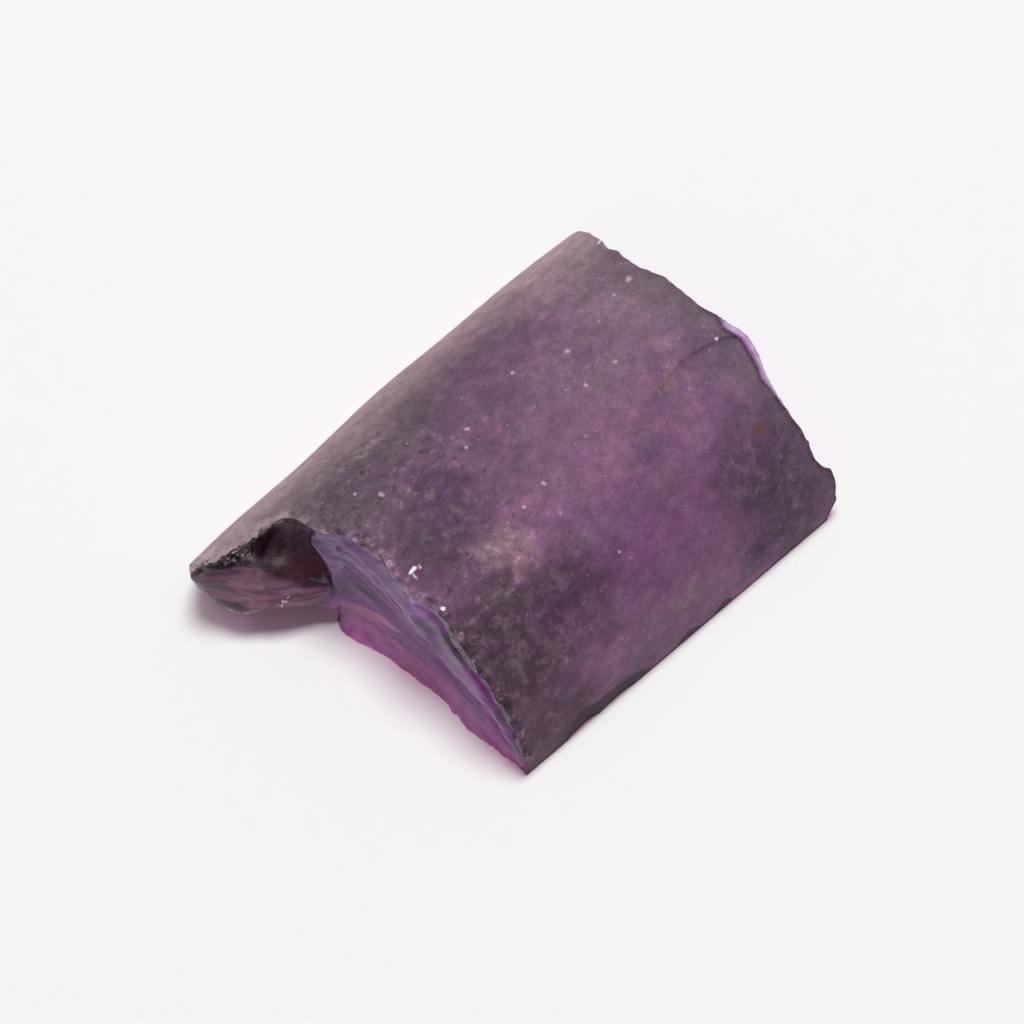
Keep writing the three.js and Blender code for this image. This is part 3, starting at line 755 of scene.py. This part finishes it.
def makeCrystal(look):
    stuff = Recipe("crystal")
    # the place on the stone in millimetres about the boule's axis
    inMetres = stuff.add("ShaderNodeTexCoord", {}, {}, "Object")
    place = stuff.add("ShaderNodeMapping", {}, {
        "Vector": inMetres, "Location": (shift.x, shift.y, 0), "Scale": (1 / mm,) * 3})
    frost = stuff.add("ShaderNodeAttribute", {"attribute_name": "frost"}, {}, "Fac")
    fromRim = stuff.add("ShaderNodeAttribute", {"attribute_name": "fromRim"}, {}, "Fac")
    x, y, z = (stuff.add("ShaderNodeSeparateXYZ", {}, {"Vector": place}, axis) for axis in "XYZ")
    arc = z.sum("ARCTAN2", z, y * -1) * boule["radius"]
    onSkin = stuff.join(x, arc, 0)
    cloudy = onSkin
    for scale, by in look["cloudsWander"]:
        cloudy = stuff.wander(cloudy, place, scale, by)
    speckled = stuff.wander(onSkin, place, *look["marksWander"])

    # skin: clouds of mauve and violet, greener on the far side, then the patches
    large, middling, fine = (stuff.noise(place, *look[name]) for name in ("large", "middling", "fine"))
    skin = stuff.blend(stuff.fade(large, 0.42, 0.6), look["mauve"], look["violet"])
    farFront = stuff.fade(arc, 16.5, 20.5) * stuff.fade(x, 4.5, -1.0)
    skin = stuff.blend(farFront * stuff.fade(middling, 0.36, 0.58, 0.25, 0.9), skin, look["greyGreen"])
    skin = stuff.blend(stuff.fade(arc, 20.0, 22.0) * 0.6, skin, look["greyGreen"])
    for centre, radii, turn, colour, share in look["patches"]:
        skin = stuff.blend(stuff.patch(cloudy, centre, radii, turn, 0.5) * share, skin, colour)
    atBack = stuff.fade(fromRim, 2.2, 0.2) * stuff.fade(x, 8.0, 11.0)
    atBack = atBack * stuff.fade(arc, 22.5, 20.5, 0, 0.6) * stuff.fade(arc, 8.0, 12.5, 0.15, 1.0)
    skin = stuff.blend(atBack, skin, look["greyGreen"])
    backEdge = stuff.fade(fromRim, 0.3, 0.08) * stuff.fade(x, 8.0, 11.0) * stuff.fade(arc, 16.5, 13.5, 0, 0.8)
    skin = stuff.blend(backEdge, skin, look["rimBrown"])

    # grit, most of it at the front, along the near edge and at the near back corner
    gritty = stuff.fade(x, 3.0, -4.0, 0.3, 1.0)
    for more in (stuff.fade(arc, 5.5, 3.0),
                 stuff.fade(x, 7.5, 9.5) * stuff.fade(arc, 10.0, 8.0),
                 stuff.fade(arc, 15.5, 20.0, 0.0, 0.35)):
        gritty = gritty.atLeast(more)
    gritty = gritty * stuff.fade(middling, 0.36, 0.62, 0.35, 1.15) * stuff.fade(arc, 8.0, 12.0, 0.6, 1.15)
    grit, smudges, tints = (stuff.noise(place, *look[name]) for name in ("grit", "smudges", "tints"))
    skin = stuff.blend(stuff.fade(tints, 0.49, 0.38, 0, 0.6) * (gritty * 0.5 + 0.5), skin, look["greyGreen"])
    skin = stuff.blend(stuff.fade(tints, 0.54, 0.68, 0, 0.45), skin, look["violetBlue"])
    skin = stuff.blend(stuff.fade(smudges, 0.5, 0.63, 0, 0.48) * gritty, skin, look["greyGreen"])
    skin = stuff.blend(stuff.fade(grit, 0.52, 0.66, 0, 0.75) * gritty, skin, look["freckle"])
    skin = stuff.shaded(skin, stuff.fade(grit, 0.47, 0.3, 0, 0.7) * gritty + 1.0)
    # painted sheen: towards the far side, seen edge-on, the skin is blended to beige, as a frosted skin looks
    # paler at a grazing angle
    farSide = arc + 1.2 * middling - 0.05 * x + stuff.fade(x, 7.0, 10.5, 0, 1.9)
    skin = stuff.blend(stuff.fade(farSide, 21.7, 29.0, 0, 0.85), skin, look["beige"])
    spurRim = stuff.fade(fromRim, 1.5, 0.4) * stuff.fade(x, -8.4, -9.2)
    skin = stuff.blend(spurRim * stuff.fade(middling, 0.36, 0.6, 0.05, 0.4), skin, look["beige"])
    tone = stuff.fade(middling, 0.3, 0.7, 0.82, 1.18) * stuff.fade(fine, 0.25, 0.75, 0.84, 1.14)
    # painted light and shade: the lowest strip by the floor is darkened a little, then the top and far side
    # are darkened and the near side lightened, to flatten the lamp's shading over the skin
    tone = tone * stuff.fade(arc, 0.5, 3.5, 0.9, 1.0)
    skin = stuff.shaded(skin, tone * stuff.fade(arc, 16.5, 6.5, 0.83, 1.26))

    # pale specks, dust and short scratches, and among the marks painted glints on the chipped front rim
    for centre, radii, turn, colour, share in look["marksAndGlints"]:
        skin = stuff.blend(stuff.patch(speckled, centre, radii, turn) * share, skin, colour)
    nearest = None
    for atX, atArc, size in look["specks"]:
        away = stuff.away(speckled, (atX, atArc, 0)) / size
        nearest = away if nearest is None else away.sum("MINIMUM", away, nearest)
    pale = stuff.fade(nearest, 1.2, 0.4, 0, 0.75)
    dust = stuff.fade(stuff.noise(place, *look["dust"]), 0.69, 0.77, 0, 0.6)
    drawnOut = stuff.join(x * 0.8 + arc * 0.15, arc * 5.5, z)
    scratches = stuff.fade(stuff.noise(drawnOut, *look["scratches"]), 0.66, 0.76, 0, 0.45) * gritty
    skin = stuff.blend(pale.atLeast(dust.atLeast(scratches)), skin, look["speck"])
    worn = stuff.fade(fromRim - 0.7 * middling, 0.3, -0.1) * stuff.fade(x, -5.5, -7.5)
    crumbs = stuff.noise(place, *look["crumbs"])
    skin = stuff.blend(worn * stuff.fade(crumbs, 0.52, 0.6, 0, 0.8), skin, look["pit"])
    skin = stuff.blend(worn * stuff.fade(crumbs, 0.46, 0.38, 0, 0.8), skin, look["smudge"])
    # painted shade: the shallow chips along the near foot are painted dark, and a thin dark line is painted
    # along the foot where the skin meets the floor
    low = stuff.join(x + 0.7 * middling - 0.35, arc + 0.8 * crumbs - 0.28, 0)
    for centre, radii, turn in look["shadedNearGaps"]:
        skin = stuff.blend(stuff.patch(low, centre, radii, turn, 0.1) * 0.9, skin, look["nearChipShade"])
    skin = stuff.blend(stuff.fade(z, 0.32, 0.14, 0, 0.9) * stuff.fade(y, -6, -8), skin, look["nearChipShade"])
    skin = stuff.blend(1.0, skin, (look["skinGain"],) * 3 + (1,), "MULTIPLY")

    # breaks: lavender above a foot painted magenta, the lit floor seen through it, then the dark scoop and
    # the lens beside it
    run = y + 12.0 + 0.8 * stuff.fade(x, -8.2, -12.7, 0, 1) * (x + 8.2) * -1  # as frontBreak's run
    onBreak = stuff.join(run, z, 0)
    streaky = stuff.wander(stuff.join(run * 0.45, z * 1.3 - run * 0.25, 0), place, *look["streaksWander"])
    streak = stuff.noise(streaky, *look["streaks"])
    # painted light: the foot is painted magenta for the floor lit through the stone and seen through the thin
    # foot
    onFoot = stuff.fade(z + 1.4 * streak - 0.1 * run, 1.8, 1.0)
    face = stuff.blend(onFoot, look["lavender"], look["litFloorMagenta"])
    cracked = stuff.wander(onBreak, place, *look["facePatchesWander"])
    for centre, radii, turn, colour, share in look["facePatches"]:
        face = stuff.blend(stuff.patch(cracked, centre, radii, turn) * share, face, colour)
    brownRim = stuff.fade(fromRim, 0.6, 0.25) * stuff.fade(run, 8.4, 7.2, 0, 0.85)
    face = stuff.blend(brownRim, face, look["rimBrown"])
    onSpur = stuff.fade(run - 0.2 * z, 14.4, 14.75)
    scoopFoot = stuff.fade(z + 1.2 * streak, 5.1, 4.5) * stuff.fade(run, 19.8, 18.6)
    scoop = stuff.blend(scoopFoot, look["scoop"], look["deepRed"])
    mottled = stuff.fade(middling, 0.32, 0.68, 0.7, 1.35) * stuff.fade(crumbs, 0.36, 0.64, 0.6, 1.45)
    scoop = stuff.shaded(scoop, mottled)
    teeth = stuff.noise(place, *look["teeth"])
    # the scoop's toothed rim: dark pits, and painted glints of white on the teeth
    byRim = stuff.fade(fromRim + 0.8 * streak, 2.3, 1.7) * stuff.fade(run, 18.6, 20.0)
    scoop = stuff.blend(byRim * stuff.fade(teeth, 0.52, 0.46), scoop, look["pit"])
    scoop = stuff.blend(byRim * stuff.fade(teeth, 0.56, 0.62), scoop, look["paintedGlint"])
    ledge = stuff.fade(run, 15.5, 21.5, 3.15, 4.75)
    fan = (z - 2.7) / (run - 13.2) * 7.5  # the lens's lines spread from one point
    fanned = stuff.wander(stuff.join(run * 0.16, fan, 0), place, *look["lensLinesWander"])
    lines = stuff.noise(fanned, *look["lensLines"])
    lined = stuff.fade(lines, 0.6, 0.4, 0, 0.9) + stuff.fade(run, 21.6, 23.4, 0, 0.35)
    lens = stuff.blend(lined, look["lens"], look["lensDark"])
    crumbled = stuff.wander(onBreak, place, *look["glintsWander"])
    # painted glints on the lens
    for centre, radii, turn, share in look["lensGlints"]:
        lens = stuff.blend(stuff.patch(crumbled, centre, radii, turn) * share, lens, look["paintedGlint"])
    # painted shade: the spur's underside, under the overhang, is painted dark
    lens = stuff.blend(stuff.fade(z, 2.2, 1.4), lens, look["underSpurShade"])
    spur = stuff.blend(stuff.fade(z - ledge, -0.1, 0.12), lens, scoop)
    for centre, radii, turn, colour, share in look["spurPatches"]:
        spur = stuff.blend(stuff.patch(cracked, centre, radii, turn) * share, spur, colour)
    broken = stuff.blend(onSpur, face, spur)
    fromRidge = run - 0.2 * z - 14.5
    ridgeLine = stuff.fade(fromRidge * fromRidge, 0.02, 0.002, 0, 0.85) * stuff.fade(z, 2.2, 3.2)
    broken = stuff.blend(ridgeLine, broken, look["pit"])
    broken = stuff.shaded(broken, stuff.fade(streak, 0.3, 0.7, 0.8, 1.25) * look["breakGain"])
    ofFace, ofFoot = look["cloudOfFace"], look["cloudOfFoot"]
    cloudShare = onSpur * look["cloudOfSpur"] + (1 - onSpur) * (ofFace - onFoot * (ofFace - ofFoot))
    # painted shade: the broken faces of the chips along the near foot are painted dark as well
    onNear = stuff.fade(y, -8.6, -9.2) * stuff.fade(z, 2.6, 2.2)
    onNear = onNear * stuff.fade(x, -6.4, -6.0) * stuff.fade(x, 4.0, 3.0)
    onFront = stuff.fade(x, 2.0, -2.0)
    rear = stuff.shaded(look["lavender"], stuff.fade(middling, 0.3, 0.7, 1.1, 1.6))
    # painted highlight: the glassy bevel along the back rim is painted pale, mostly along its top part
    onBevel = stuff.fade(fromRim, 0.12, 0.4) * stuff.fade(fromRim, 1.1, 0.7)
    onBevel = onBevel * stuff.fade(crumbs, 0.4, 0.56, 0.45, 1.0)
    onTopRim = stuff.fade(y, -0.6, -1.8) * stuff.fade(y, -8.2, -7.0) * 0.85 + 0.15
    rear = stuff.blend(onBevel * onTopRim, rear, look["bevel"])
    broken = stuff.blend(onNear, stuff.blend(onFront, rear, broken), look["nearChipShade"])
    cloudShare = cloudShare.atLeast(onNear).atLeast(stuff.fade(fromRim, 0.9, 0.3, 0, 0.95))
    colour = stuff.blend(frost, broken, skin)

    matt = frost.atLeast(onNear)
    roughness = matt * (look["skinRoughness"] - look["breakRoughness"]) + look["breakRoughness"]
    pitted = 0.6 * fine + 0.4 * stuff.noise(place, *look["pits"])
    height = frost * pitted + (1 - frost) * (0.2 * streak)
    bump = stuff.add("ShaderNodeBump", {}, {
        "Strength": look["bump"], "Distance": look["bumpDepth"], "Height": height})
    common = {"Base Color": colour, "Roughness": roughness, "IOR": look["ior"], "Normal": bump}
    paler = stuff.blend(0.6, colour, look["clearTint"])
    clear = stuff.add("ShaderNodeBsdfPrincipled", {}, {
        **common, "Base Color": paler, "Specular Tint": look["breakShine"], "Transmission Weight": 1.0})
    cloud = stuff.add("ShaderNodeBsdfPrincipled", {}, {
        **common, "Specular IOR Level": look["shine"], "Transmission Weight": look["skinClearness"]})
    body = stuff.either(frost * (1 - cloudShare) + cloudShare, clear, cloud)
    throughBreak, throughSkin, throughSteep, throughSpur, throughTip = (
        stuff.add("ShaderNodeBsdfTransparent", {}, {"Color": look[name]})
        for name in ("throughBreak", "throughSkin", "throughSteep", "throughSpur", "throughTip"))
    through = stuff.either(stuff.fade(z, 6.0, 3.5), throughSkin, throughSteep)
    through = stuff.either(frost, throughBreak, through)
    through = stuff.either(stuff.fade(x, -7.9, -8.8), through, throughSpur)
    through = stuff.either(stuff.fade(x, -11.2, -13.2), through, throughTip)
    isShadow = stuff.add("ShaderNodeLightPath", {}, {}, "Is Shadow Ray")
    surface = stuff.either(isShadow, body, through)
    inside = stuff.add("ShaderNodeVolumeAbsorption", {}, {
        "Color": look["absorbs"], "Density": look["density"]})
    return stuff.finish(surface, inside)


stone.data.materials.clear()
stone.data.materials.append(makeCrystal(crystal))
print("crystal made,", len(stone.active_material.node_tree.nodes), "nodes")


# Studio: a pale floor, one soft lamp overhead and a dim white room.
studio = {
    "floor": 0.9, "floorTints": ((1.01, 0.985, 1.0), (0.99, 0.99, 0.99)), "floorGrain": (900, 3),
    "floorSize": 3.0, "floorGap": 0.02,  # metres across, and millimetres below the stone
    "room": 0.18,  # strength of the white room
    "lampAt": (0.082, 0.07, 0.792), "lampSize": 0.28, "lampPower": 5.55,
}


def makeFloor(look):
    deselectAll()
    bpy.ops.mesh.primitive_plane_add(size=look["floorSize"], location=(0, 0, -look["floorGap"] * mm))
    floor = bpy.context.object
    floor.name = "floor"
    card = Recipe("floor card")
    place = card.add("ShaderNodeTexCoord", {}, {}, "Object")
    grain = card.noise(place, *look["floorGrain"])
    warm, plain = ((*(look["floor"] * part for part in tint), 1) for tint in look["floorTints"])
    tone = card.blend(grain, warm, plain)
    floor.data.materials.append(card.finish(card.add("ShaderNodeBsdfPrincipled", {}, {
        "Base Color": tone, "Roughness": 0.9, "Specular IOR Level": 0.0})))
    return floor


def makeLamp(look):
    lamp = bpy.data.lights.new("softbox", "AREA")
    lamp.shape, lamp.size, lamp.energy = "DISK", look["lampSize"], look["lampPower"]
    holder = bpy.data.objects.new("softbox", lamp)
    bpy.context.scene.collection.objects.link(holder)
    holder.location = look["lampAt"]
    holder.rotation_euler = (-Vector(look["lampAt"])).to_track_quat("-Z", "Y").to_euler()
    return holder


makeFloor(studio)
makeLamp(studio)
room = bpy.data.worlds.new("room")
room.use_nodes = True
room.node_tree.nodes["Background"].inputs["Color"].default_value = (1, 1, 1, 1)
room.node_tree.nodes["Background"].inputs["Strength"].default_value = studio["room"]
bpy.context.scene.world = room
bpy.context.scene.view_settings.view_transform = "Standard"
print("studio set")


# The camera's angles in degrees, its lens, and its distance and aim in millimetres about the axis
sight = {
    "azimuth": -42.987, "elevation": 65.0, "distance": 288.357, "lookAt": (1.75, 1.123, 0.0),
    "focal": 200.0, "sensor": 36.0, "sees": (0.01, 10),
}


def makeCamera(look):
    data = bpy.data.cameras.new("camera")
    data.lens, data.sensor_width = look["focal"], look["sensor"]
    data.clip_start, data.clip_end = look["sees"]
    a, e = radians(look["azimuth"]), radians(look["elevation"])
    back = Vector((sin(a) * cos(e), -cos(a) * cos(e), sin(e)))
    camera = bpy.data.objects.new("camera", data)
    bpy.context.scene.collection.objects.link(camera)
    target = (Vector(look["lookAt"]) - Vector((shift.x, shift.y, 0))) * mm
    camera.location = target + back * look["distance"] * mm
    camera.rotation_euler = back.to_track_quat("Z", "Y").to_euler()
    bpy.context.scene.camera = camera


makeCamera(sight)
print("camera set")

print("scene ready")
